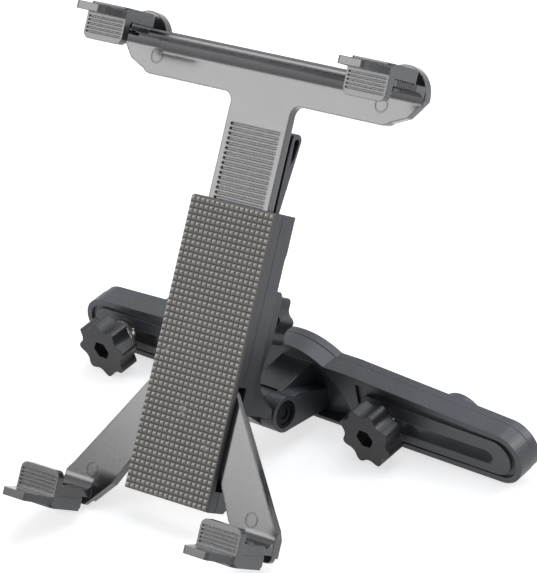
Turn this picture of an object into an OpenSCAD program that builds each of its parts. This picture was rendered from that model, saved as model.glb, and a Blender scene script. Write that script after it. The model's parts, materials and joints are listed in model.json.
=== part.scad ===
// Headrest tablet mount: a slotted two-part headrest bar with star knobs, a forked tilt hinge,
// a turning adapter and a leaning cradle with a sliding T-bracket, two swinging legs and four claws.
// Units are mm, +Z is up. The table is Z = 0, the bar lies along X with its front rim in Y = 0,
// and the cradle reaches forward (-Y) and leans back.

/* [Stance] */
// Lean of the cradle from upright, in degrees
lean = 38; // [30:1:42]
// Turn of the cradle on its rear post, in degrees
spin = 2.6; // [0:0.2:4]
// Height of the tilt hinge above the bar's lower edge
hinge_z = 16.2; // [15:0.2:18]
// Reach of the tilt hinge in front of the bar's rim
hinge_reach = 20.7; // [20:0.5:26]

/* [Headrest bar] */
// Half the length of the bar
bar_half = 117.5; // [105:0.5:130]
// Height of a wing at its tip
tip_h = 23; // [21:0.5:26]
// Height of a wing beside the hub
root_h = 27.8; // [26:0.2:30]
// Radius of the half-round hub
hub_r = 33.5; // [31:0.5:36]
// Thickness of the front half of the bar
front_t = 8; // [7:0.5:10]
// Thickness of the rear half of the bar
rear_t = 3.7; // [3:0.1:5]
// Height of the long slot in each wing
slot_h = 6.4; // [6:0.2:7]
// Distance from the middle to the inner end of each slot
slot_in = 43; // [42:0.5:46]

/* [Star knobs] */
// Radius over the lobes of a star knob
knob_r = 13; // [12:0.5:14]
// Thickness of the lobed part of a star knob
knob_t = 9; // [8:0.5:9.5]
// Number of lobes on a star knob
knob_lobes = 8; // [7:1:9]
// Radius of the clamp bolts
bolt_r = 2.2; // [2:0.1:2.4]
// Place of the left clamp bolt along the bar
bolt_left = 95; // [85:1:98]
// Gap between the left knob's front face and the bar
knob_gap_left = 16; // [14:0.5:16]
// Gap between the right knob's front face and the bar
knob_gap_right = 13.6; // [13.6:0.2:16]
// Place of the right clamp bolt along the bar
bolt_right = 48.6; // [48.4:0.2:60]

/* [Cradle] */
// Width of the rubber pad
pad_w = 43.4; // [42:0.2:46]
// Height of the rubber pad
pad_h = 119.6; // [118:0.2:124]
// Pyramids across the pad
pad_cols = 17; // [15:1:19]
// Pyramids up the pad
pad_rows = 48; // [46:1:50]
// Depth of the cradle housing from the pad's face
case_d = 14; // [13.6:0.2:15]
// Height of the rear post above the middle of the pad
post_v = 17.5; // [16:0.5:19]

/* [Upper T-bracket] */
// Width of the sliding shaft
shaft_w = 31; // [29:0.2:32]
// Height of the lower edge of the cross bar above the middle of the pad
cross_v = 103; // [101:0.5:108]
// Half the length of the cross bar at its top
cross_half = 78; // [77:0.2:79]
// Number of grooves across the shaft
groove_n = 16; // [12:1:16]

/* [Legs] */
// Swing of each leg away from the rest place, in degrees
leg_open = 0; // [-20:1:0]

/* [Claws] */
// Width of a claw
claw_w = 20.6; // [19.6:0.2:21]
// Distance of the upper claws from the middle
claw_up_x = 67.5; // [67:0.5:68]
// Reach of a thumb latch in front of its lip
latch_reach = 12.5; // [9:0.5:14]

/* [Hidden] */
$fn = 64;
bar_t = front_t + rear_t + 0.3;
rear_y0 = front_t + 0.3;
slot_z = 10.7;
lift = knob_r - slot_z;
open_t = 9;
slot_out = bar_half - 14;
tip_r = tip_h / 2;
plate_w0 = 3.7;
plate_w1 = 7.2;
hinge_w = 48.6;
hinge_v = -17.7;
knuckle_r = 7.7;
lug_half = 6;
ear_in = 6.3;
ear_out = 14;
half_w = 21.7;
case_top = 60.4;
case_bot = -60;
seam_w = 6.3;
lip_v_up = cross_v + 8.2;
lip_v_low = -59.1;
claw_low_x = 48.1;
lip_w = -21;
claw_z = 15.2;
leg_low = -72.1;
slot_low = -51.5;
slot_top = -9.2;
leg_px = 9.3;
leg_pv = -10.5;
head_r = 8.7;
knob_seat = case_d + 14.6;
lever_w = 10.4;
lever_v = 46;
well_w = case_d - 1;

// Points on an arc from angle a0 to a1
function arc(cx, cy, r, a0, a1, n) =
    [for (i = [0:n]) [cx + r * cos(a0 + (a1 - a0) * i / n), cy + r * sin(a0 + (a1 - a0) * i / n)]];

function mirror_x(pts) = [for (i = [len(pts) - 1:-1:0]) [-pts[i][0], pts[i][1]]];

// Outline of a star knob: round lobes with concave flutes between them
function star(r, n, depth) =
    [for (i = [0:n * 14 - 1])
        let (a = 360 * i / (n * 14), c = 0.5 + 0.5 * cos(n * a))
        [(r - depth + depth * pow(c, 1.4)) * cos(a), (r - depth + depth * pow(c, 1.4)) * sin(a)]];

// Carries the adapter's own frame, which leans with the tilt hinge
module in_adapter() {
    translate([0, -hinge_reach, lift + hinge_z])
        rotate([-lean, 0, 0])
            translate([0, -hinge_w, -hinge_v])
                children();
}

// Carries the bar's frame, whose Z starts at the bar's lower edge
module in_bar() {
    translate([0, 0, lift])
        children();
}

// Carries the cradle's frame: origin in the middle of the pad's face, X across, Y back, Z up the pad
module in_cradle() {
    in_adapter()
        translate([0, 0, post_v])
            rotate([0, -spin, 0])
                translate([0, 0, -post_v])
                    children();
}

// Turns a flat outline in X and Z into a plate between two depths
module plate_y(y0, y1) {
    translate([0, y1, 0])
        rotate([90, 0, 0])
            linear_extrude(y1 - y0)
                children();
}

// Turns a flat outline in Y and Z into a solid between two places across
module across(x0, x1) {
    translate([x0, 0, 0])
        rotate([90, 0, 90])
            linear_extrude(x1 - x0)
                children();
}

module rod_y(r, y0, y1) {
    translate([0, y0, 0])
        rotate([-90, 0, 0])
            cylinder(h = y1 - y0, r = r);
}

module rod_x(r, x0, x1) {
    translate([x0, 0, 0])
        rotate([0, 90, 0])
            cylinder(h = x1 - x0, r = r);
}

module box(x0, x1, y0, y1, z0, z1) {
    translate([x0, y0, z0])
        cube([x1 - x0, y1 - y0, z1 - z0]);
}

// Stadium outline between two places across, at height z
module stadium(x0, x1, z, r) {
    polygon(concat(arc(x1 - r, z, r, -90, 90, 16), arc(x0 + r, z, r, 90, 270, 16)));
}

// Outline of the bar: two tapering wings with round tips, and the half-round hub on top
module bar_outline(inset) {
    wing = concat(
        [[0, inset]],
        arc(bar_half - tip_r, tip_r, tip_r - inset, -90, 86, 24),
        [[hub_r - 4, root_h - inset], [0, root_h - inset]]);
    polygon(wing);
    polygon(mirror_x(wing));
    polygon(arc(0, inset, hub_r - inset, 0, 180, 60));
}

module slots(y0, y1, r) {
    for (s = [-1, 1])
        plate_y(y0, y1)
            stadium(s > 0 ? slot_in : -slot_out, s > 0 ? slot_out : -slot_in, slot_z, r);
}

// Raised oval on the front face of one wing
module plateau(s, grow) {
    x0 = hub_r + 7;
    x1 = bar_half - 5.2;
    plate_y(-0.3, 2)
        scale([s, 1])
            polygon(concat(
                arc(x1 - 8 - grow, 11.5, 8 + grow, -90, 88, 16),
                [[x0, 20.6 + grow], [x0 - 3 - grow, 18], [x0 - 3 - grow, 5], [x0, 3.5 - grow]]));
}

module bar_front() {
    color("dimgray")
        in_bar()
        difference() {
            union() {
                difference() {
                    plate_y(0, front_t)
                        bar_outline(0);
                    for (s = [-1, 1])
                        plate_y(-1, 1.1)
                            scale([s, 1])
                                polygon(concat(
                                    [[hub_r + 1.6, 2.4]],
                                    arc(bar_half - tip_r, tip_r, tip_r - 2.5, -90, 86, 20),
                                    [[hub_r + 1.6, root_h - 3.2]]));
                    plate_y(-1, 5)
                        polygon(concat([[-hub_r + 1.7, 1.6]], [[hub_r - 1.7, 1.6]],
                            arc(0, 0, hub_r - 1.7, 3, 177, 56)));
                }
                for (s = [-1, 1])
                    plateau(s, 0);
                // Neck from the hub's floor to the fork
                across(-8, 8)
                    polygon([[6, 3], [6, 23.4], [-hinge_reach + 5, 22.2], [-hinge_reach + 5, 9.4]]);
                // Two ears of the fork
                for (s = [-1, 1])
                    scale([s, 1, 1]) {
                        translate([0, -hinge_reach, hinge_z])
                            rod_x(knuckle_r, ear_in, ear_out);
                        across(ear_in, ear_out)
                            polygon([[-hinge_reach, hinge_z - knuckle_r], [-hinge_reach, hinge_z + 5.4],
                                [-hinge_reach + 9.4, hinge_z + 4.8], [5.5, 12.5], [5.5, 4]]);
                    }
            }
            // Room for the adapter's lug between the ears
            translate([0, -hinge_reach, hinge_z])
                rod_x(knuckle_r + 0.6, -ear_in, ear_in);
            // Hinge bolt hole and the round pockets in the ears
            translate([0, -hinge_reach, hinge_z]) {
                rod_x(3.05, -20, 20);
                rod_x(5.9, 11.2, 20);
                rod_x(5.9, -20, -11.2);
            }
            slots(-1, front_t + 1, slot_h / 2);
            // Shallow pockets for the grip strips
            for (s = [-1, 1])
                grip_shapes(s, front_t - 1.1, front_t + 1, 0.1);
        }
}

// Two strips on the inside of one wing, above and below the slot
module grip_shapes(s, y0, y1, grow) {
    for (z = [[2.4, 6.2], [15.4, 19.4]])
        scale([s, 1, 1])
            box(hub_r + 14 - grow, bar_half - 17 + grow, y0, y1, z[0] - grow, z[1] + grow);
}

module front_grips() {
    color("black")
        in_bar()
            for (s = [-1, 1])
                grip_shapes(s, front_t - 1.1, front_t + 0.1, 0);
}

module rear_grips() {
    color("black")
        in_bar()
            for (s = [-1, 1])
                grip_shapes(s, rear_y0 - 0.1, rear_y0 + 1.1, 0);
}

module bar_rear() {
    color("dimgray")
        in_bar()
            difference() {
                union() {
                    plate_y(rear_y0, bar_t)
                        bar_outline(0.3);
                    for (s = [-1, 1])
                        translate([s * 77, 0, slot_z + 1])
                            rod_y(11.4, bar_t - 0.1, bar_t + 4);
                }
                slots(rear_y0 - 1, bar_t + 1, slot_h / 2);
                slots(bar_t, bar_t + 8, 4.9);
                for (s = [-1, 1])
                    grip_shapes(s, rear_y0 - 1, rear_y0 + 1.1, 0.1);
            }
}

// Clamp bolt: hex head deep in the knob and a long shank through both slots and the nut
module clamp_bolt(x, gap) {
    in_bar()
        translate([x, 0, slot_z]) {
            plate_y(-gap + 5.6, -gap + 8.6)
                circle(r = 4.3, $fn = 6);
            rod_y(bolt_r, -gap + 8.5, bar_t + open_t + 2);
        }
}

module clamp_bolt_left() {
    color("silver")
        clamp_bolt(-bolt_left, knob_gap_left);
}

module clamp_bolt_right() {
    color("silver")
        clamp_bolt(bolt_right, knob_gap_right);
}

// Square nut that slides along the channel behind the rear half
module clamp_nut(x) {
    in_bar()
        translate([x, 0, slot_z])
            difference() {
                box(-4.3, 4.3, bar_t + 0.1, bar_t + 3.6, -4.3, 4.3);
                rod_y(bolt_r + 0.05, bar_t - 1, bar_t + 5);
            }
}

module clamp_nut_left() {
    color("silver")
        clamp_nut(-bolt_left);
}

module clamp_nut_right() {
    color("silver")
        clamp_nut(bolt_right);
}

// Turned collar between the knob and the front of the bar
module clamp_collar(x, gap) {
    in_bar()
        translate([x, -0.6, slot_z])
            rotate([90, 0, 0])
                difference() {
                    union() {
                        cylinder(h = 1.4, r = 5.8);
                        translate([0, 0, 1.3])
                            cylinder(h = gap - knob_t - 4.1, r1 = 5, r2 = 4.2);
                    }
                    translate([0, 0, -1])
                        cylinder(h = 30, r = bolt_r + 0.05);
                }
}

module clamp_collar_left() {
    color("silver")
        clamp_collar(-bolt_left, knob_gap_left);
}

module clamp_collar_right() {
    color("silver")
        clamp_collar(bolt_right, knob_gap_right);
}

// Star knob with its axis on Y, front face at y = 0, a short cone behind and a hex well for a head
module star_knob(turn) {
    difference() {
        union() {
            plate_y(0, knob_t)
                rotate(turn)
                    polygon(star(knob_r, knob_lobes, 2.4));
            translate([0, knob_t - 0.1, 0])
                rotate([-90, 0, 0])
                    cylinder(h = 1.7, r1 = knob_r - 3.6, r2 = knob_r - 5.4);
        }
        plate_y(-1, 8.6)
            circle(r = 4.3, $fn = 6);
        rod_y(bolt_r + 0.05, 8, knob_t + 3);
    }
}

module clamp_knob(x, gap, turn) {
    in_bar()
        translate([x, -gap, slot_z])
            star_knob(turn);
}

module clamp_knob_left() {
    color("gray")
        clamp_knob(-bolt_left, knob_gap_left, 6);
}

module clamp_knob_right() {
    color("gray")
        clamp_knob(bolt_right, knob_gap_right, 22.5);
}

module hinge_bolt() {
    color("darkgray")
        translate([0, -hinge_reach, lift + hinge_z]) {
            rod_x(2.95, -12.6, 11.3);
            difference() {
                rod_x(5.6, 11.2, 13.6);
                rod_x(4.7, 13.0, 14);
                translate([12.4, 0, 0])
                    rotate([0, 90, 0])
                        cylinder(h = 2, r = 2.6, $fn = 6);
            }
        }
}

module hinge_nut() {
    color("darkgray")
        translate([0, -hinge_reach, lift + hinge_z])
            difference() {
                translate([-13.4, 0, 0])
                    rotate([0, 90, 0])
                        cylinder(h = 2.2, r = 5.4, $fn = 6);
                rod_x(3, -14, -11);
            }
}

// Adapter: deep box behind the housing, scooped at the rear, with a lug down to the hinge
module adapter() {
    color("dimgray")
        in_adapter()
            difference() {
                union() {
                    across(-ear_out, ear_out)
                        polygon(concat(
                            [[case_d + 0.3, 30.5], [25, 30.5], [26.4, 29], [27.4, 18], [27.6, 10.4],
                                [26.8, 5.2]],
                            [for (i = [0:8]) let (t = i / 8)
                                [26.3 + 12.6 * pow(t, 1.9), 0.5 - 16.8 * pow(t, 0.62)]],
                            [[39.6, -18], [39.6, -20.2], [case_d + 0.3, -20.2]]));
                    across(-lug_half, lug_half)
                        polygon(concat([[30, -20.2], [30, -9.5], [39, -14]],
                            arc(hinge_w, hinge_v, knuckle_r, 140, 60, 6),
                            arc(hinge_w, hinge_v, knuckle_r, 0, -96, 8)));
                    translate([0, hinge_w, hinge_v])
                        rod_x(knuckle_r, -lug_half, lug_half);
                }
                translate([0, hinge_w, hinge_v])
                    rod_x(3.05, -20, 20);
                // Round pocket that carries the post and its bush
                translate([0, 0, post_v]) {
                    rod_y(6.25, 0, 40);
                    rod_y(9.4, 22, 40);
                }
                // Hollow behind the front wall, open below the bush
                box(-11, 11, 17, 30, -9, post_v - 12);
            }
}

module adapter_bush() {
    color("gainsboro")
        in_adapter()
            translate([0, 0, post_v])
                difference() {
                    union() {
                        rod_y(6.2, case_d + 0.3, 22.1);
                        rod_y(9.2, 22.05, knob_seat - 0.2);
                    }
                    rod_y(4.05, 0, 40);
                }
}

module spin_post() {
    color("silver")
        in_cradle()
            translate([0, 0, post_v]) {
                rod_y(4, 11.4, knob_seat);
                rod_y(bolt_r, knob_seat - 0.1, knob_seat + 7.6);
                rod_y(7, 9.9, 11.5);
            }
}

module at_rear_knob() {
    in_cradle()
        translate([0, knob_seat + knob_t + 1.8, post_v])
            mirror([0, 1, 0])
                children();
}

module rear_knob() {
    color("gray")
        at_rear_knob()
            star_knob(4);
}

module rear_knob_nut() {
    color("silver")
        at_rear_knob()
            difference() {
                plate_y(5, 8.6)
                    circle(r = 4.3, $fn = 6);
                rod_y(bolt_r + 0.05, 4, 10);
            }
}

// Rear half of the housing, hollow for the shaft, the lever and the leg heads
module rear_shell() {
    color("dimgray")
        in_cradle()
            difference() {
                union() {
                    across(-half_w, half_w)
                        polygon([[seam_w + 0.1, case_bot], [seam_w + 0.1, case_top], [case_d, case_top],
                            [case_d, 45.6], [case_d - 0.5, 43], [case_d - 0.5, case_bot + 2],
                            [case_d - 2.5, case_bot]]);
                    for (s = [-1, 1])
                        translate([s * leg_px, 0, leg_pv])
                            rod_y(4.6, 8.2, case_d - 1);
                }
                // Channel for the shaft
                box(-shaft_w / 2 - 0.4, shaft_w / 2 + 0.4, seam_w - 1, 8.7, 0.6, case_top + 1);
                // Deeper well for the lever, and the room its spring needs
                box(-15.4, 15.4, seam_w, well_w, 36, case_top + 1);
                // Flat pocket for the legs, open below and at both sides
                box(-20.2, 20.2, seam_w - 1, 8.2, case_bot - 1, -0.4);
                box(-30, 30, seam_w - 1, 8.2, slot_low, slot_top);
                // Post hole and the pocket of its head
                translate([0, 0, post_v]) {
                    rod_y(4.05, 0, 20);
                    rod_y(7.2, seam_w, 11.5);
                }
                // Leg screw holes
                for (s = [-1, 1])
                    translate([s * leg_px, 0, leg_pv])
                        rod_y(1.55, 0, case_d - 2.5);
                // Screw holes from the back
                screw_places()
                    rod_y(1.55, 0, 20);
                screw_places()
                    rod_y(3.1, case_d - 2.2, 20);
                // Pin hole of the lever
                translate([0, lever_w, lever_v])
                    rod_x(1.05, -19.5, 19.5);
            }
}

module screw_places() {
    for (x = [-18.4, 18.4])
        for (z = [4, 31])
            translate([x, 0, z])
                children();
}

// Front half of the housing: thin wall behind the pad, side walls and the channel for the shaft
module front_shell() {
    color("dimgray")
        in_cradle()
            difference() {
                box(-half_w, half_w, 2, seam_w - 0.1, case_bot, case_top);
                box(-shaft_w / 2 - 0.4, shaft_w / 2 + 0.4, 3.4, 9, 0.6, case_top + 1);
                box(-20.2, 20.2, 3.4, 9, case_bot - 1, -0.4);
                box(-30, 30, 3.4, 9, slot_low, slot_top);
                screw_places()
                    rod_y(1.3, 4.4, 20);
            }
}

// Pad: a flat sheet whose front carries rows of square pyramids
module rubber_pad() {
    nx = pad_cols;
    nz = pad_rows;
    dx = pad_w / nx;
    dz = pad_h / nz;
    grid = [for (j = [0:nz]) for (i = [0:nx]) [-pad_w / 2 + i * dx, 0.9, -pad_h / 2 + j * dz]];
    tops = [for (j = [0:nz - 1]) for (i = [0:nx - 1])
        [-pad_w / 2 + (i + 0.5) * dx, 0, -pad_h / 2 + (j + 0.5) * dz]];
    rim = [[-pad_w / 2, 2, -pad_h / 2], [pad_w / 2, 2, -pad_h / 2], [pad_w / 2, 2, pad_h / 2],
        [-pad_w / 2, 2, pad_h / 2]];
    ng = len(grid);
    nt = len(tops);
    b = ng + nt;
    fronts = [for (j = [0:nz - 1]) for (i = [0:nx - 1])
        let (p = j * (nx + 1) + i, t = ng + j * nx + i)
        for (f = [[p, t, p + 1], [p + 1, t, p + nx + 2], [p + nx + 2, t, p + nx + 1],
            [p + nx + 1, t, p]]) f];
    bottom = concat([b], [for (i = [0:nx]) i], [b + 1]);
    top = concat([b + 2], [for (i = [nx:-1:0]) nz * (nx + 1) + i], [b + 3]);
    right = concat([b + 1], [for (j = [0:nz]) j * (nx + 1) + nx], [b + 2]);
    left = concat([b + 3], [for (j = [nz:-1:0]) j * (nx + 1)], [b]);
    color("gray")
        in_cradle()
            polyhedron(points = concat(grid, tops, rim),
                faces = concat(fronts, [bottom, right, top, left, [b, b + 1, b + 2, b + 3]]));
}

module shell_screws() {
    color("silver")
        in_cradle()
            screw_places()
                difference() {
                    union() {
                        rod_y(1.25, 4.5, case_d - 2.1);
                        rod_y(2.9, case_d - 2.2, case_d - 0.5);
                    }
                    box(-1.9, 1.9, case_d - 1.3, case_d, -0.4, 0.4);
                    box(-0.4, 0.4, case_d - 1.3, case_d, -1.9, 1.9);
                }
}

// Right half of the T outline, from the foot of the shaft round to the top middle
function t_half() = concat(
    [[shaft_w / 2, 42]],
    [for (p = arc(shaft_w / 2 + 4, cross_v - 4, 4, 180, 90, 8)) p],
    arc(60, cross_v + 6, 6, -90, -46, 5),
    [[cross_half - 6.3, cross_v + 4.8], [cross_half - 2.6, cross_v + 9.2]],
    arc(cross_half - 11.4, cross_v + 13.6, 11.4, -6, 156, 22));

// T-bracket: grooved sliding shaft with a toothed back, cross bar, and a flange turned forward
module t_bracket() {
    fl = cross_v + 15.2;
    ft = cross_v + 17.8;
    color("lightgray")
        in_cradle()
            difference() {
                union() {
                    plate_y(plate_w0, plate_w1)
                        polygon(concat(t_half(), mirror_x(t_half())));
                    // Middle of the flange with its inner fillet
                    across(-56.8, 56.8)
                        polygon(concat([[-6, ft], [-7, ft - 0.8], [-7, fl + 0.6], [-6.4, fl]],
                            arc(plate_w0 - 6, fl - 6, 6, 90, 0, 10), [[plate_w0 + 1, ft - 8],
                            [plate_w0 + 1, ft]]));
                    // Deeper flange ends that carry the claws
                    for (s = [-1, 1])
                        scale([s, 1, 1])
                            difference() {
                                across(56.5, cross_half - 0.4)
                                    polygon(concat([[-16.8, ft], [-17.2, ft - 0.4], [-17.2, fl + 0.4],
                                        [-16.8, fl]],
                                        arc(plate_w0 - 5, fl - 5, 5, 90, 0, 10),
                                        [[plate_w0 + 1, ft - 8], [plate_w0 + 1, ft]]));
                                box(claw_up_x - 3.2, claw_up_x + 3.2, -16.4, -4.6, fl - 1, ft + 1);
                                for (i = [0:8])
                                    translate([cross_half - 0.4, -15.4 + i * 1.45, fl - 1])
                                        rotate(45)
                                            cube([0.8, 0.8, 6], center = false);
                            }
                    // Toothed back of the shaft
                    across(-14.4, 14.4)
                        polygon(concat([[plate_w1 - 0.2, 62]],
                            [for (i = [0:17]) for (p = [[plate_w1 - 0.2, 62.6 + 2 * i],
                                [plate_w1 + 0.9, 62.8 + 2 * i], [plate_w1 + 0.9, 63.4 + 2 * i],
                                [plate_w1 - 0.1, 64.4 + 2 * i]]) p],
                            [[plate_w1 - 0.2, 98.6], [plate_w1 - 1, 98.6], [plate_w1 - 1, 62]]));
                    // Stiffening rib along the back of the cross bar
                    box(-56, 56, plate_w1 - 0.1, plate_w1 + 1.6, cross_v + 3, cross_v + 4.6);
                    box(-56, 56, plate_w1 - 0.1, plate_w1 + 1.6, cross_v + 12, cross_v + 13.6);
                }
                // Grooves across the front of the shaft
                for (i = [0:groove_n - 1])
                    translate([0, 0, 91 - 2 * i]) {
                        box(-12.4, 12.4, plate_w0 - 1, plate_w0 + 0.8, -0.46, 0.46);
                        for (x = [-12.4, 12.4])
                            translate([x, 0, 0])
                                rod_y(0.46, plate_w0 - 1, plate_w0 + 0.8);
                    }
                // Round ejector marks
                for (s = [-1, 1])
                    translate([s * 58.3, 0, cross_v + 7.8])
                        plate_y(plate_w0 - 0.5, plate_w0 + 0.12)
                            difference() {
                                circle(r = 3);
                                circle(r = 2.7);
                            }
            }
}

// Release lever: broad strap behind the shaft, a teardrop finger loop above, a pawl edge below
module release_lever() {
    color("gray")
        in_cradle()
            difference() {
                across(-15, 15)
                    polygon(concat(
                        [[9.3, 41.5], [9.3, 55.2], [8.5, 56.2], [8.5, 57.2], [9.3, 58.4], [9.3, 80]],
                        [[9.5, 88.8]],
                        arc(12.4, 89.6, 2.9, 176, 8, 14),
                        [[14.1, 80], [11.8, 61], [11.4, 41.5]]));
                across(-16, 16)
                    polygon(concat([[11.6, 79.6]], arc(12.55, 88.9, 1.55, 178, 4, 12),
                        [[13.2, 82.6]]));
                translate([0, lever_w, lever_v])
                    rod_x(1.05, -17, 17);
            }
}

module lever_pin() {
    color("silver")
        in_cradle()
            translate([0, lever_w, lever_v])
                rod_x(1, -19, 19);
}

// Bent leaf spring on the well's rear wall, reaching up and forward to the back of the lever
module lever_spring() {
    color("silver")
        in_cradle()
            across(-5, 5)
                polygon([[well_w, 38], [well_w, 46.1], [well_w - 0.4, 52.1], [well_w - 0.7, 52],
                    [well_w - 0.3, 46], [well_w - 0.3, 38]]);
}

// Right leg in the cradle's frame
function leg_outline() = concat(
    arc(leg_px, leg_pv, head_r, 215, 36, 24),
    [[52.9, -56.6]],
    arc(52.5, -61.5, 3.6, 25, 0, 3),
    arc(54, leg_low + 2.1, 2.1, 0, -90, 5),
    [[42.6, leg_low], [31.3, -60.9], [21, -43.6]]);

module leg_right_body() {
    color("lightgray")
        difference() {
            union() {
                plate_y(plate_w0, 6)
                    polygon(leg_outline());
                // Rim along the outer edge of the back
                plate_y(5.9, 7.8)
                    polygon([[24, -18.4], [26.2, -20.2], [54.6, -58.9], [56.1, -62.5], [56.1, -69.6],
                        [54.4, -70.4], [54.4, -62.6], [53.1, -59.4], [22.8, -18.8]]);
                plate_y(5.9, 7.8)
                    polygon([[21, -43.6], [31.3, -60.9], [40.4, -70], [43, -70.2],
                        [32.8, -60], [22.4, -42.6]]);
                plate_y(5.9, 7.8)
                    polygon([[26, -28], [27.2, -27.2], [50, -61], [50, -70], [48.6, -70],
                        [48.6, -61.4]]);
                // Flange turned forward at the foot, with its fillet
                across(40.6, 56)
                    polygon(concat([[5, -68.7], [-16.8, -68.7], [-17.2, -68.3], [-17.2, -66.5],
                        [-16.8, -66.1]],
                        arc(plate_w0 - 5, -61.1, 5, -90, 0, 10),
                        [[5, -61]]));
            }
            translate([leg_px, 0, leg_pv])
                rod_y(3.1, 0, 12);
            box(claw_low_x - 3.2, claw_low_x + 3.2, -16.4, -4.6, -70, -65);
            for (i = [0:8])
                translate([56, -15.4 + i * 1.45, -70])
                    rotate(45)
                        cube([0.8, 0.8, 6], center = false);
            translate([42.4, 0, -57.8])
                plate_y(plate_w0 - 0.5, plate_w0 + 0.12)
                    difference() {
                        circle(r = 3);
                        circle(r = 2.7);
                    }
        }
}

// Swings one side's parts about the leg pivot
module swung(s) {
    in_cradle()
        scale([s, 1, 1])
            translate([leg_px, 0, leg_pv])
                rotate([0, -leg_open, 0])
                    translate([-leg_px, 0, -leg_pv])
                        children();
}

module leg_right() {
    swung(1)
        leg_right_body();
}

module leg_left() {
    swung(-1)
        leg_right_body();
}

module leg_screws() {
    color("silver")
        in_cradle()
            for (s = [-1, 1])
                translate([s * leg_px, 0, leg_pv])
                    difference() {
                        union() {
                            rod_y(3, 3.6, 8.2);
                            rod_y(1.5, 8.1, case_d - 2.6);
                        }
                        box(-2, 2, 3.5, 4.2, -0.4, 0.4);
                    }
}

// Right side of the thumb tab, swept in to its narrow front with a rounded corner
function tab_side(h) = concat([[h, 1], [h, -0.4]],
    [for (i = [1:6]) let (t = i / 7) [h - (h - 6.4) * pow(t, 0.75), -0.4 - (latch_reach - 1.9) * t]],
    arc(5, -latch_reach + 1.5, 1.5, 0, -90, 4));

// Claw with its lip's inner edge at the origin, front face in Y = 0 and its outer side up
module claw_body() {
    h = claw_w / 2;
    color("darkgray")
        difference() {
            union() {
                // Lip with rounded inner corners
                plate_y(0, 3.4)
                    polygon(concat(arc(h - 3, 3, 3, -90, 0, 8), [[h, 9.9], [-h, 9.9]],
                        arc(-h + 3, 3, 3, 180, 270, 8)));
                // Block on the flange
                across(-h, h)
                    polygon([[0, 9.8], [0, claw_z - 1.3], [0.7, claw_z - 1.3], [0.7, claw_z - 0.8],
                        [16.4, claw_z - 0.8], [17, claw_z - 1.4], [17, 9.8]]);
                // Cover plate with rounded corners, a groove above the tab
                translate([0, 0, claw_z - 0.9])
                    linear_extrude(0.9)
                        polygon(concat(arc(-h + 2.2, 2.2, 2.2, 270, 180, 6),
                            arc(-h + 1, 16, 1, 180, 90, 4), arc(h - 1, 16, 1, 90, 0, 4),
                            arc(h - 2.2, 2.2, 2.2, 0, -90, 6)));
                // Stem through the flange and its foot
                box(-2.9, 2.9, 11.4, 16, 5.8, 10.2);
                box(-4.8, 4.8, 11.4, 16, 5.4, 6.7);
                // Thumb tab that reaches forward and narrows
                translate([0, 0, claw_z - 4.5])
                    linear_extrude(3.2)
                        polygon(concat(tab_side(h), [for (i = [len(tab_side(h)) - 1:-1:0])
                            [-tab_side(h)[i][0], tab_side(h)[i][1]]]));
            }
            // Ribs of the lip
            for (i = [0:4])
                box(-h + 1, h - 1, -1, 0.55, 2.6 + 1.55 * i, 3.25 + 1.55 * i);
            // Hollow below the block's rear
            box(-h + 1.5, -4.2, 2.2, 15.6, 9, claw_z - 2);
            box(4.2, h - 1.5, 2.2, 15.6, 9, claw_z - 2);
        }
}

module at_upper(s) {
    in_cradle()
        translate([s * claw_up_x, lip_w, lip_v_up])
            children();
}

module at_lower(s) {
    swung(s)
        translate([claw_low_x, lip_w, lip_v_low])
            rotate([0, 180, 0])
                children();
}

module claw_upper_left() {
    at_upper(-1)
        claw_body();
}

module claw_upper_right() {
    at_upper(1)
        claw_body();
}

module claw_lower_left() {
    at_lower(-1)
        claw_body();
}

module claw_lower_right() {
    at_lower(1)
        claw_body();
}

bar_front();
bar_rear();
front_grips();
rear_grips();
clamp_bolt_left();
clamp_bolt_right();
clamp_knob_left();
clamp_knob_right();
clamp_collar_left();
clamp_nut_left();
clamp_collar_right();
clamp_nut_right();
hinge_bolt();
hinge_nut();
adapter();
adapter_bush();
spin_post();
rear_knob();
rear_knob_nut();
rear_shell();
front_shell();
rubber_pad();
shell_screws();
t_bracket();
release_lever();
lever_pin();
lever_spring();
leg_left();
leg_right();
leg_screws();
claw_upper_left();
claw_upper_right();
claw_lower_left();
claw_lower_right();
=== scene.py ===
import json
import math
import bmesh
import bpy
from mathutils import Matrix, Vector


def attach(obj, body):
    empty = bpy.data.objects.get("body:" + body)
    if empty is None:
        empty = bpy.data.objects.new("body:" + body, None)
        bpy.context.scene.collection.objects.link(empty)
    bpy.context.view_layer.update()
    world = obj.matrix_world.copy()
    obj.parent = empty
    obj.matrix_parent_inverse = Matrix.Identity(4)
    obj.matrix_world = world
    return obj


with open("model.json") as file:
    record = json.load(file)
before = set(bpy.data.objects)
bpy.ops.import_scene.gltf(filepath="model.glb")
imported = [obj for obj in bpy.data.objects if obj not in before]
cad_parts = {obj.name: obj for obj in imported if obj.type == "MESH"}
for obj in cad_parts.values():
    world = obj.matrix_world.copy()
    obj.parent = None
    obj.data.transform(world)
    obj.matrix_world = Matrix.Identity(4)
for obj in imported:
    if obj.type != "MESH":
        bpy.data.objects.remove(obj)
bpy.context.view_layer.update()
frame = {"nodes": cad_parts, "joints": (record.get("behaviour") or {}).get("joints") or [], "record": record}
print("stage: frame loaded")

mmPerMetre = 1000

# The cradle's axes, from its joints: across, back through the pad, and up the pad
jointAxis = {joint["name"]: Vector(joint["axis"]) for joint in frame["joints"]}
acrossAxis, backAxis, upAxis = cradleAxes = (
    jointAxis["lever_press"], jointAxis["cradle_turn"], jointAxis["bracket_slide"])


# Where a node's points lie along an axis, in metres
def reachAlong(node, axis):
    body = frame["nodes"][node]
    return [(body.matrix_world @ vertex.co).dot(axis) for vertex in body.data.vertices]


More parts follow.
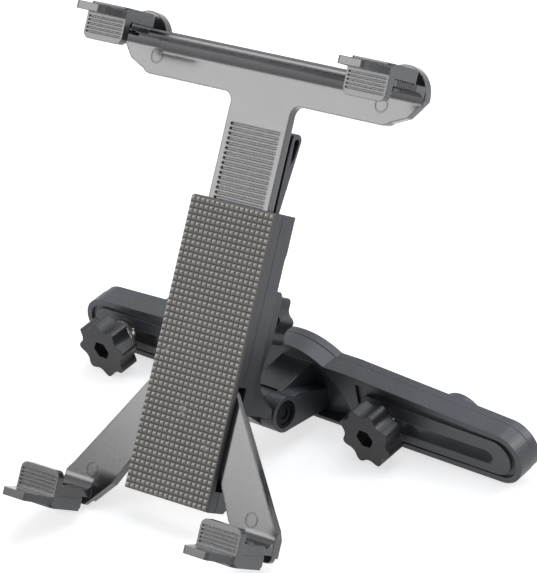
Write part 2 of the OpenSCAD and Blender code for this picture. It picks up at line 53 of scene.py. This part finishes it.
# One hex colour as the linear values that shaders take
def hexColour(text, alpha=1.0):
    out = []
    for i in (0, 2, 4):
        c = int(text[i:i + 2], 16) / 255
        out.append(c / 12.92 if c <= 0.04045 else ((c + 0.055) / 1.055) ** 2.4)
    return (*out, alpha)


# Adds one node with its settings and the links that feed it
def addNode(tree, kind, settings=None, feeds=None):
    n = tree.nodes.new(kind)
    for key, value in (settings or {}).items():
        if isinstance(key, str) and hasattr(n, key):
            setattr(n, key, value)
        else:
            n.inputs[key].default_value = value
    for key, source in (feeds or {}).items():
        tree.links.new(source, n.inputs[key])
    return n


def newMaterial(name):
    m = bpy.data.materials.new(name)
    m.use_nodes = True
    m.node_tree.nodes.clear()
    return m, m.node_tree


def rampStops(node, stops):
    ramp = node.color_ramp
    while len(ramp.elements) < len(stops):
        ramp.elements.new(0.5)
    for e, (at, colour) in zip(ramp.elements, stops):
        e.position = at
        e.color = colour
    return node


# Scales the row's metres to millimetres for a pattern
def millimetres(tree, stretch=(1, 1, 1)):
    where = addNode(tree, "ShaderNodeTexCoord")
    return addNode(tree, "ShaderNodeMapping", {"Scale": tuple(mmPerMetre * s for s in stretch)},
                   {"Vector": where.outputs["Object"]}).outputs[0]


def place(name, data):
    o = bpy.data.objects.new(name, data)
    bpy.context.scene.collection.objects.link(o)
    return o


# What all moulded plastics share: spans are the noise values between which a pattern fades in
mould = {
    "cloudDetail": 3.0, "cloudRoughness": 0.55, "cloudSpan": (0.32, 0.68),
    "grainDetail": 4.0, "grainRoughness": 0.7, "grainSpan": (0.3, 0.7), "grainDepthMm": 0.08,
    "scuffDetail": 5.0, "scuffRoughness": 0.65, "scuffSpan": (0.62, 0.74),
    "speckPerMm": 0.55, "speckSpan": (0.05, 0.12), "dustAndLightColour": "B9B8B4", "upwardSpan": (0.2, 0.9),
    "edgeSamples": 4, "coatIor": 1.5}


# Moulded plastic: two tones of cloudy colour, spark-eroded grain, soft edges and a little dust on top
def mouldedPlastic(name, s):
    m, t = newMaterial(name)
    mm = millimetres(t)
    cloud = addNode(t, "ShaderNodeTexNoise", {"Scale": s["cloudPerMm"], "Detail": mould["cloudDetail"],
                                              "Roughness": mould["cloudRoughness"]}, {"Vector": mm})
    tone = rampStops(addNode(t, "ShaderNodeValToRGB", feeds={"Fac": cloud.outputs["Fac"]}),
                     [(mould["cloudSpan"][0], hexColour(s["dark"])),
                      (mould["cloudSpan"][1], hexColour(s["light"]))])
    grain = addNode(t, "ShaderNodeTexNoise", {"Scale": s["grainPerMm"], "Detail": mould["grainDetail"],
                                              "Roughness": mould["grainRoughness"]}, {"Vector": mm})

    # Rub marks, drawn out along the way that the piece is handled, only dull the gloss
    scuffs = addNode(t, "ShaderNodeTexNoise", {"Scale": 1.0, "Detail": mould["scuffDetail"],
                                               "Roughness": mould["scuffRoughness"]},
                     {"Vector": millimetres(t, s["scuffStretch"])})
    scuffLine = addNode(t, "ShaderNodeMapRange", {"From Min": mould["scuffSpan"][0], "From Max": mould["scuffSpan"][1],
                                                  "To Min": 0.0, "To Max": s["scuff"]},
                        {"Value": scuffs.outputs["Fac"]})

    # Dust lies as specks on what faces up
    speck = addNode(t, "ShaderNodeTexVoronoi", {"Scale": mould["speckPerMm"], "Randomness": 1.0}, {"Vector": mm})
    speckSize = addNode(t, "ShaderNodeMapRange", {"From Min": mould["speckSpan"][0], "From Max": mould["speckSpan"][1],
                                                  "To Min": s["dustAndLightAmount"], "To Max": 0.0},
                        {"Value": speck.outputs["Distance"]})
    facing = addNode(t, "ShaderNodeNewGeometry")
    facingParts = addNode(t, "ShaderNodeSeparateXYZ", feeds={"Vector": facing.outputs["Normal"]})
    facingUp = addNode(t, "ShaderNodeMapRange", {"From Min": mould["upwardSpan"][0],
                                                 "From Max": mould["upwardSpan"][1]},
                       {"Value": facingParts.outputs["Z"]})
    dustAmount = addNode(t, "ShaderNodeMath", {"operation": "MULTIPLY"},
                         {0: speckSize.outputs[0], 1: facingUp.outputs[0]})
    withDustAndLight = addNode(t, "ShaderNodeMix", {"data_type": "RGBA", 7: hexColour(mould["dustAndLightColour"])},
                    {0: dustAmount.outputs[0], 6: tone.outputs["Color"]})

    shine = addNode(t, "ShaderNodeMapRange", {"From Min": mould["grainSpan"][0], "From Max": mould["grainSpan"][1],
                                              "To Min": s["roughness"] - s["roughnessSpread"],
                                              "To Max": s["roughness"] + s["roughnessSpread"]},
                    {"Value": grain.outputs["Fac"]})
    dull = addNode(t, "ShaderNodeMath", {"operation": "ADD"}, {0: shine.outputs[0], 1: scuffLine.outputs[0]})
    edge = addNode(t, "ShaderNodeBevel", {"samples": mould["edgeSamples"], "Radius": s["edgeMm"] / mmPerMetre})
    bump = addNode(t, "ShaderNodeBump", {"Strength": s["grainStrength"],
                                         "Distance": mould["grainDepthMm"] / mmPerMetre},
                   {"Height": grain.outputs["Fac"], "Normal": edge.outputs[0]})
    shader = addNode(t, "ShaderNodeBsdfPrincipled", {"IOR": s["ior"], "Metallic": 0.0},
                     {"Base Color": withDustAndLight.outputs[2], "Roughness": dull.outputs[0], "Normal": bump.outputs[0]})
    if s.get("coat"):
        shader.inputs["Coat Weight"].default_value = s["coat"]
        shader.inputs["Coat Roughness"].default_value = s["coatRoughness"]
        shader.inputs["Coat IOR"].default_value = mould["coatIor"]
        t.links.new(edge.outputs[0], shader.inputs["Coat Normal"])
    out = addNode(t, "ShaderNodeOutputMaterial")
    t.links.new(shader.outputs[0], out.inputs["Surface"])
    return m


# What all turned steel shares
turning = {"blotchPerMm": 0.7, "blotchDetail": 4.0, "blotchSpan": (0.3, 0.7), "ringDetail": 3.0,
           "brighter": 0.08, "duller": 0.12, "edgeMm": 0.2, "edgeSamples": 4, "ringStrength": 0.25,
           "ringDepthMm": 0.05}


# Turned and plated steel: fine rings, bright with faint blotches
def platedSteel(name, s):
    m, t = newMaterial(name)
    blotch = addNode(t, "ShaderNodeTexNoise", {"Scale": turning["blotchPerMm"], "Detail": turning["blotchDetail"]},
                     {"Vector": millimetres(t)})
    tone = rampStops(addNode(t, "ShaderNodeValToRGB", feeds={"Fac": blotch.outputs["Fac"]}),
                     [(turning["blotchSpan"][0], hexColour(s["dark"])),
                      (turning["blotchSpan"][1], hexColour(s["light"]))])
    rings = addNode(t, "ShaderNodeTexNoise", {"Scale": 1.0, "Detail": turning["ringDetail"]},
                    {"Vector": millimetres(t, s["ringStretch"])})
    rough = addNode(t, "ShaderNodeMapRange", {"To Min": s["roughness"] - turning["brighter"],
                                              "To Max": s["roughness"] + turning["duller"]},
                    {"Value": rings.outputs["Fac"]})
    edge = addNode(t, "ShaderNodeBevel", {"samples": turning["edgeSamples"], "Radius": turning["edgeMm"] / mmPerMetre})
    bump = addNode(t, "ShaderNodeBump", {"Strength": turning["ringStrength"],
                                         "Distance": turning["ringDepthMm"] / mmPerMetre},
                   {"Height": rings.outputs["Fac"], "Normal": edge.outputs[0]})
    shader = addNode(t, "ShaderNodeBsdfPrincipled", {"Metallic": 1.0},
                     {"Base Color": tone.outputs["Color"], "Roughness": rough.outputs[0], "Normal": bump.outputs[0]})
    out = addNode(t, "ShaderNodeOutputMaterial")
    t.links.new(shader.outputs[0], out.inputs["Surface"])
    return m


# What both rubbers share; the spot settings say where a rubbed spot fades and how much of the painted valley shade
# stays in it
pressing = {"cloudPerMm": 0.06, "cloudRoughness": 0.6, "finePerMm": 3.0, "fineRoughness": 0.7, "noiseDetail": 5.0,
            "toneSpan": (0.36, 0.62), "spotRim": 0.85, "spotShadeKept": 0.25, "dustAndLightSpan": (-0.45, 0.55),
            "fineStrength": 0.35, "fineDepthMm": 0.06, "ior": 1.5}


# Pressed rubber: painted shade darkens the valleys, and the slopes that face along a given axis are paler with dust
# and painted light
def pressedRubber(name, s):
    m, t = newMaterial(name)
    mm = millimetres(t)
    where = addNode(t, "ShaderNodeTexCoord")
    depth = addNode(t, "ShaderNodeVectorMath", {"operation": "DOT_PRODUCT", 1: s["depthAxis"]},
                    {0: where.outputs["Object"]})
    # Painted shade: the deeper a point lies behind the pyramid tips, the more it takes the valley colour
    valleyShadeByDepth = addNode(t, "ShaderNodeMapRange", {"From Min": s["tipAt"] + s["paleMm"] / mmPerMetre,
                                            "From Max": s["tipAt"] + s["deepMm"] / mmPerMetre,
                                            "To Min": 0.0, "To Max": 1.0}, {"Value": depth.outputs["Value"]})
    cloud = addNode(t, "ShaderNodeTexNoise", {"Scale": pressing["cloudPerMm"], "Detail": pressing["noiseDetail"],
                                              "Roughness": pressing["cloudRoughness"]}, {"Vector": mm})
    fine = addNode(t, "ShaderNodeTexNoise", {"Scale": pressing["finePerMm"], "Detail": pressing["noiseDetail"],
                                             "Roughness": pressing["fineRoughness"]}, {"Vector": mm})
    mottle = addNode(t, "ShaderNodeMix", {"data_type": "FLOAT", 0: 0.5},
                     {2: cloud.outputs["Fac"], 3: fine.outputs["Fac"]})
    tone = rampStops(addNode(t, "ShaderNodeValToRGB", feeds={"Fac": mottle.outputs[0]}),
                     [(pressing["toneSpan"][0], hexColour(s["dark"])),
                      (pressing["toneSpan"][1], hexColour(s["light"]))])

    # A rubbed round spot, worn flat, keeps only part of the painted valley shade
    clear = valleyShadeByDepth.outputs[0]
    for spot, radius in s["spots"]:
        away = addNode(t, "ShaderNodeVectorMath", {"operation": "DISTANCE", 1: spot}, {0: where.outputs["Object"]})
        fade = addNode(t, "ShaderNodeMapRange", {"From Min": radius * pressing["spotRim"], "From Max": radius,
                                                 "To Min": pressing["spotShadeKept"]}, {"Value": away.outputs["Value"]})
        clear = addNode(t, "ShaderNodeMath", {"operation": "MULTIPLY"}, {0: clear, 1: fade.outputs[0]}).outputs[0]

    # Dust and painted light: the slopes that face along the given axis are mixed towards a pale colour
    slope = addNode(t, "ShaderNodeNewGeometry")
    lean = addNode(t, "ShaderNodeVectorMath", {"operation": "DOT_PRODUCT", 1: s["dustAndLightAxis"]},
                   {0: slope.outputs["True Normal"]})
    withDustAndLight = addNode(t, "ShaderNodeMapRange", {"From Min": pressing["dustAndLightSpan"][0], "From Max": pressing["dustAndLightSpan"][1],
                                              "To Min": 0.0, "To Max": s["dustAndLightAmount"]}, {"Value": lean.outputs["Value"]})
    dustAndPaintedLight = addNode(t, "ShaderNodeMix", {"data_type": "RGBA", 7: hexColour(s["dustAndLightColour"])},
                     {0: withDustAndLight.outputs[0], 6: tone.outputs["Color"]})
    # Painted shade: the valley colour is laid over the rubber where the valley mask is high
    shade = addNode(t, "ShaderNodeMix", {"data_type": "RGBA", 7: hexColour(s["valleyShadeColour"])},
                    {0: clear, 6: dustAndPaintedLight.outputs[2]})
    bump = addNode(t, "ShaderNodeBump", {"Strength": pressing["fineStrength"],
                                         "Distance": pressing["fineDepthMm"] / mmPerMetre},
                   {"Height": fine.outputs["Fac"]})
    shader = addNode(t, "ShaderNodeBsdfPrincipled", {"IOR": pressing["ior"], "Roughness": s["roughness"]},
                     {"Base Color": shade.outputs[2], "Normal": bump.outputs[0]})
    out = addNode(t, "ShaderNodeOutputMaterial")
    t.links.new(shader.outputs[0], out.inputs["Surface"])
    return m


# Charcoal ABS of the clamp bar: a fine sheen that picks up the sky-side light along its long top
barPlastic = mouldedPlastic("absCharcoalMoulded", {
    "dark": "2C2E33", "light": "383A40", "cloudPerMm": 0.05, "grainPerMm": 2.2, "grainStrength": 0.5,
    "roughness": 0.42, "roughnessSpread": 0.05, "scuffStretch": (0.05, 1.5, 1.5), "scuff": 0.12,
    "dustAndLightAmount": 0.5, "ior": 1.53, "edgeMm": 0.5})

# The same resin on the cradle's housing and adapter, smoother
housingPlastic = mouldedPlastic("absHousingMoulded", {
    "dark": "2B2C30", "light": "36373C", "cloudPerMm": 0.07, "grainPerMm": 2.6, "grainStrength": 0.35,
    "roughness": 0.36, "roughnessSpread": 0.05, "scuffStretch": (1.2, 1.2, 0.06), "scuff": 0.1,
    "dustAndLightAmount": 0.4, "ior": 1.53, "edgeMm": 0.4})

# Polished ABS of the bracket and the legs: mirrors the studio, with fine rub marks along the shaft
bracketPlastic = mouldedPlastic("absPolishedMoulded", {
    "dark": "121315", "light": "2C2D30", "cloudPerMm": 0.06, "grainPerMm": 2.0, "grainStrength": 0.14,
    "roughness": 0.22, "roughnessSpread": 0.06, "scuffStretch": (1.6, 1.6, 0.08), "scuff": 0.09,
    "dustAndLightAmount": 0.12, "ior": 1.58, "edgeMm": 0.8, "coat": 0.6, "coatRoughness": 0.13})

# Smooth dark ABS of the claws, greased by fingers on the thumb tabs
clawPlastic = mouldedPlastic("absClawMoulded", {
    "dark": "1C1D1F", "light": "27282B", "cloudPerMm": 0.12, "grainPerMm": 2.0, "grainStrength": 0.15,
    "roughness": 0.28, "roughnessSpread": 0.05, "scuffStretch": (0.3, 1.5, 1.5), "scuff": 0.12,
    "dustAndLightAmount": 0.15, "ior": 1.54, "edgeMm": 0.5, "coat": 0.6, "coatRoughness": 0.12})

# Black glass-filled nylon of the star knobs: dull, so that the lobes' rounded edges catch the light
knobPlastic = mouldedPlastic("nylonKnobMoulded", {
    "dark": "101113", "light": "17181A", "cloudPerMm": 0.15, "grainPerMm": 2.4, "grainStrength": 0.4,
    "roughness": 0.42, "roughnessSpread": 0.05, "scuffStretch": (1.2, 0.15, 1.2), "scuff": 0.1,
    "dustAndLightAmount": 0.06, "ior": 1.46, "edgeMm": 0.45})

# Acetal of the post's bush, hidden at rest: plain off-white with a soft sheen
bushPlastic = mouldedPlastic("acetalNaturalMoulded", {
    "dark": "CFCDC6", "light": "DBD9D2", "cloudPerMm": 0.1, "grainPerMm": 2.0, "grainStrength": 0.1,
    "roughness": 0.35, "roughnessSpread": 0.04, "scuffStretch": (1, 1, 1), "scuff": 0.08,
    "dustAndLightAmount": 0.0, "ior": 1.48, "edgeMm": 0.3})

# Rubber of the cradle's pad: warm grey, with painted shade in the valleys, dust and painted light on the slopes facing
# up and to the left, three rubbed spots of a place and a radius in metres, and depth counted back from the tips
padRubber = pressedRubber("rubberPressedPyramids", {
    "dark": "66635D", "light": "7F7B74", "valleyShadeColour": "454340", "roughness": 0.5,
    "dustAndLightAmount": 0.85, "dustAndLightColour": "C6C2BA", "dustAndLightAxis": (-0.52, 0.42, 0.74),
    "spots": [((0.00037, -0.06265, 0.04375), 0.0021), ((-0.01547, -0.05021, 0.05967), 0.0014),
              ((0.01591, -0.06985, 0.03453), 0.0016)],
    "depthAxis": backAxis, "tipAt": min(reachAlong("rubber_pad", backAxis)), "paleMm": 0.4, "deepMm": 0.92})

# Extruded strips inside the bar: plain black rubber, too thin for any valley
gripRubber = pressedRubber("rubberExtrudedStrip", {
    "dark": "17171A", "light": "222225", "valleyShadeColour": "17171A", "roughness": 0.7,
    "dustAndLightAmount": 0.1, "dustAndLightColour": "5A5A5A", "dustAndLightAxis": (0.0, 0.0, 1.0), "spots": [],
    "depthAxis": (0.0, 1.0, 0.0), "tipAt": 0.0, "paleMm": 10, "deepMm": 20})

# Steels: bright zinc on the turned collars, bolts and nuts, black oxide on the hinge, a blued leaf spring
zincSteel = platedSteel("steelZincPlatedTurned", {
    "dark": "B4B4B0", "light": "D8D8D4", "roughness": 0.26, "ringStretch": (0.05, 3.0, 0.05)})
blackSteel = platedSteel("steelBlackOxide", {
    "dark": "1A1A1C", "light": "2A2A2E", "roughness": 0.34, "ringStretch": (3.0, 0.05, 0.05)})
springSteel = platedSteel("steelSpringBlued", {
    "dark": "7C7F86", "light": "9A9DA3", "roughness": 0.35, "ringStretch": (3.0, 0.05, 0.05)})

slotMaterials = {
    "bar_plastic": barPlastic, "housing_plastic": housingPlastic, "bracket_plastic": bracketPlastic,
    "claw_plastic": clawPlastic, "knob_plastic": knobPlastic, "bush_plastic": bushPlastic,
    "pad_rubber": padRubber, "grip_rubber": gripRubber,
    "zinc_steel": zincSteel, "black_steel": blackSteel, "spring_steel": springSteel}
for part in frame["record"]["subparts"]:
    body = frame["nodes"][part["node"]]
    body.data.materials.clear()
    body.data.materials.append(slotMaterials[part["material_slot"]])
print("stage: materials set on", len(frame["nodes"]), "nodes")


# Side cheeks of a lower claw: they close the block beside the flange, flush with the claw's own sides
def clawCheeks(node, s):
    across, back, up = ([mmPerMetre * at for at in reachAlong(node, axis)] for axis in cradleAxes)
    left, right = min(across) + s["inset"], max(across) - s["inset"]
    front, rear = max(back) - s["frontReach"], max(back) - s["rearGap"]
    inner, outer = max(up) - s["innerReach"], max(up) - s["outerReach"]
    profile = [(front, outer), (front, inner - s["chamfer"]), (front + s["chamfer"], inner)]
    for i in range(s["cornerSteps"] + 1):
        a = math.radians(90 - 90 * i / s["cornerSteps"])
        profile.append((rear - s["corner"] * (1 - math.cos(a)), inner - s["corner"] * (1 - math.sin(a))))
    profile.append((rear, outer))

    count = len(profile)
    points, faces = [], []
    for near, far in ((left, left + s["thick"]), (right - s["thick"], right)):
        base = len(points)
        for u in (near, far):
            points += [(u * acrossAxis + w * backAxis + v * upAxis) / mmPerMetre for w, v in profile]
        faces.append([base + i for i in range(count)])
        faces.append([base + count + i for i in reversed(range(count))])
        faces += [[base + i, base + count + i, base + count + (i + 1) % count, base + (i + 1) % count]
                  for i in range(count)]
    mesh = bpy.data.meshes.new(node + "_cheeks")
    mesh.from_pydata(points, [], faces)
    shell = bmesh.new()
    shell.from_mesh(mesh)
    bmesh.ops.recalc_face_normals(shell, faces=shell.faces[:])
    shell.to_mesh(mesh)
    shell.free()
    mesh.materials.append(clawPlastic)
    return place(node + "_cheeks", mesh)


# In millimetres, the reaches and the gap counted from the claw's rear and from its upper end
cheekSettings = {"inset": 0.02, "thick": 1.78, "frontReach": 13.7, "rearGap": 0.4, "innerReach": 5.6,
                 "outerReach": 9.9, "chamfer": 0.6, "corner": 1.6, "cornerSteps": 6}
for node, body in (("claw_lower_left", "lower_left_claw"), ("claw_lower_right", "lower_right_claw")):
    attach(clawCheeks(node, cheekSettings), body)
print("stage: cheeks of the lower claws added")


# One for rays that show the backdrop: those of the camera, of gloss and through glass
def seenDirectly(tree):
    ray = addNode(tree, "ShaderNodeLightPath")
    pair = addNode(tree, "ShaderNodeMath", {"operation": "MAXIMUM"},
                   {0: ray.outputs["Is Camera Ray"], 1: ray.outputs["Is Glossy Ray"]})
    return addNode(tree, "ShaderNodeMath", {"operation": "MAXIMUM"},
                   {0: pair.outputs[0], 1: ray.outputs["Is Transmission Ray"]}).outputs[0]


# Floor: a matte paper sheet that looks white where it is seen and still takes the object's soft shadow
floorSettings = {"half": 3.0, "paperDark": "C4C4C4", "paperLight": "CACACA", "fibrePerMm": 0.4,
                 "fibreDetail": 3.0, "fibreSpan": (0.3, 0.7), "roughness": 0.9, "glow": 0.12, "glowSeen": 0.55}
white = (1, 1, 1, 1)
floorMesh = bpy.data.meshes.new("floorSheet")
half = floorSettings["half"]
floorMesh.from_pydata([(-half, -half, 0), (half, -half, 0), (half, half, 0), (-half, half, 0)], [], [(0, 1, 2, 3)])
floor = place("floorSheet", floorMesh)
floorMaterial, tree = newMaterial("paperWhiteSweep")
fibre = addNode(tree, "ShaderNodeTexNoise", {"Scale": floorSettings["fibrePerMm"],
                                             "Detail": floorSettings["fibreDetail"]}, {"Vector": millimetres(tree)})
paper = rampStops(addNode(tree, "ShaderNodeValToRGB", feeds={"Fac": fibre.outputs["Fac"]}),
                  [(floorSettings["fibreSpan"][0], hexColour(floorSettings["paperDark"])),
                   (floorSettings["fibreSpan"][1], hexColour(floorSettings["paperLight"]))])
matte = addNode(tree, "ShaderNodeBsdfPrincipled", {"Roughness": floorSettings["roughness"]},
                {"Base Color": paper.outputs["Color"]})
glowLevel = addNode(tree, "ShaderNodeMath", {"operation": "MULTIPLY_ADD", 1: floorSettings["glowSeen"],
                                             2: floorSettings["glow"]}, {0: seenDirectly(tree)})
glow = addNode(tree, "ShaderNodeEmission", {"Color": white}, {"Strength": glowLevel.outputs[0]})
paperAndGlow = addNode(tree, "ShaderNodeAddShader", feeds={0: matte.outputs[0], 1: glow.outputs[0]})
floorOut = addNode(tree, "ShaderNodeOutputMaterial")
tree.links.new(paperAndGlow.outputs[0], floorOut.inputs["Surface"])
floorMesh.materials.append(floorMaterial)

# World: a plain studio light that is greyer at the horizon, and white where it is seen
worldSettings = {"strength": 0.34, "horizon": "C9CBCE", "zenith": "FFFFFF", "seenStrength": 1.0}
world = bpy.data.worlds.new("studioWhite")
bpy.context.scene.world = world
world.use_nodes = True
tree = world.node_tree
tree.nodes.clear()
skyDirection = addNode(tree, "ShaderNodeTexCoord")
skyUp = addNode(tree, "ShaderNodeSeparateXYZ", feeds={"Vector": skyDirection.outputs["Generated"]})
skyRamp = rampStops(addNode(tree, "ShaderNodeValToRGB", feeds={"Fac": skyUp.outputs["Z"]}),
                    [(0.0, hexColour(worldSettings["horizon"])), (1.0, hexColour(worldSettings["zenith"]))])
studioLight = addNode(tree, "ShaderNodeBackground", {"Strength": worldSettings["strength"]},
                      {"Color": skyRamp.outputs["Color"]})
whiteBack = addNode(tree, "ShaderNodeBackground", {"Color": white, "Strength": worldSettings["seenStrength"]})
pick = addNode(tree, "ShaderNodeMixShader", feeds={0: seenDirectly(tree), 1: studioLight.outputs[0],
                                                   2: whiteBack.outputs[0]})
worldOut = addNode(tree, "ShaderNodeOutputWorld")
tree.links.new(pick.outputs[0], worldOut.inputs["Surface"])


# A softbox aimed at the object: places and sizes in metres
def softbox(name, s):
    lamp = bpy.data.lights.new(name, "AREA")
    lamp.shape = "RECTANGLE"
    lamp.size, lamp.size_y = s["size"]
    lamp.energy = s["watts"]
    lamp.color = hexColour(s["colour"])[:3]
    o = place(name, lamp)
    o.location = s["at"]
    aim = Vector(s["towards"]) - Vector(s["at"])
    o.rotation_euler = aim.to_track_quat("-Z", "Y").to_euler()


softbox("softboxFrontLeft", {"at": (-0.79, -0.88, 0.78), "towards": (0, -0.05, 0.08), "size": (0.6, 0.56),
                             "watts": 5.2, "colour": "FFFFFF"})
softbox("softboxTop", {"at": (0.15, 0.35, 1.1), "towards": (0, 0, 0.05), "size": (0.9, 0.7),
                       "watts": 8.5, "colour": "EAF1FF"})
softbox("softboxRight", {"at": (0.85, 0.7, 0.75), "towards": (0.1, 0, 0.05), "size": (0.4, 0.6),
                         "watts": 8, "colour": "FFFFFF"})
print("stage: lights and floor placed")

# Camera at the photograph's viewing angle, from a fit to the object's own corners: metres, lens in millimetres
cameraSettings = {"at": (0.9372, -0.8775, 0.8773), "right": (0.7476, 0.6416, -0.1717),
                  "up": (-0.2443, 0.5059, 0.8273), "lens": 253.5, "sensor": 36.0, "nearClip": 0.05}
lens = bpy.data.cameras.new("photoCamera")
lens.sensor_fit = "HORIZONTAL"
lens.sensor_width = cameraSettings["sensor"]
lens.lens = cameraSettings["lens"]
lens.clip_start = cameraSettings["nearClip"]
camera = place("photoCamera", lens)
right = Vector(cameraSettings["right"]).normalized()
up = Vector(cameraSettings["up"])
up = (up - right * up.dot(right)).normalized()
back = right.cross(up)
camera.matrix_world = Matrix.Translation(cameraSettings["at"]) @ Matrix((right, up, back)).transposed().to_4x4()
bpy.context.scene.camera = camera
bpy.context.scene.view_settings.view_transform = "Standard"
print("stage: camera placed")
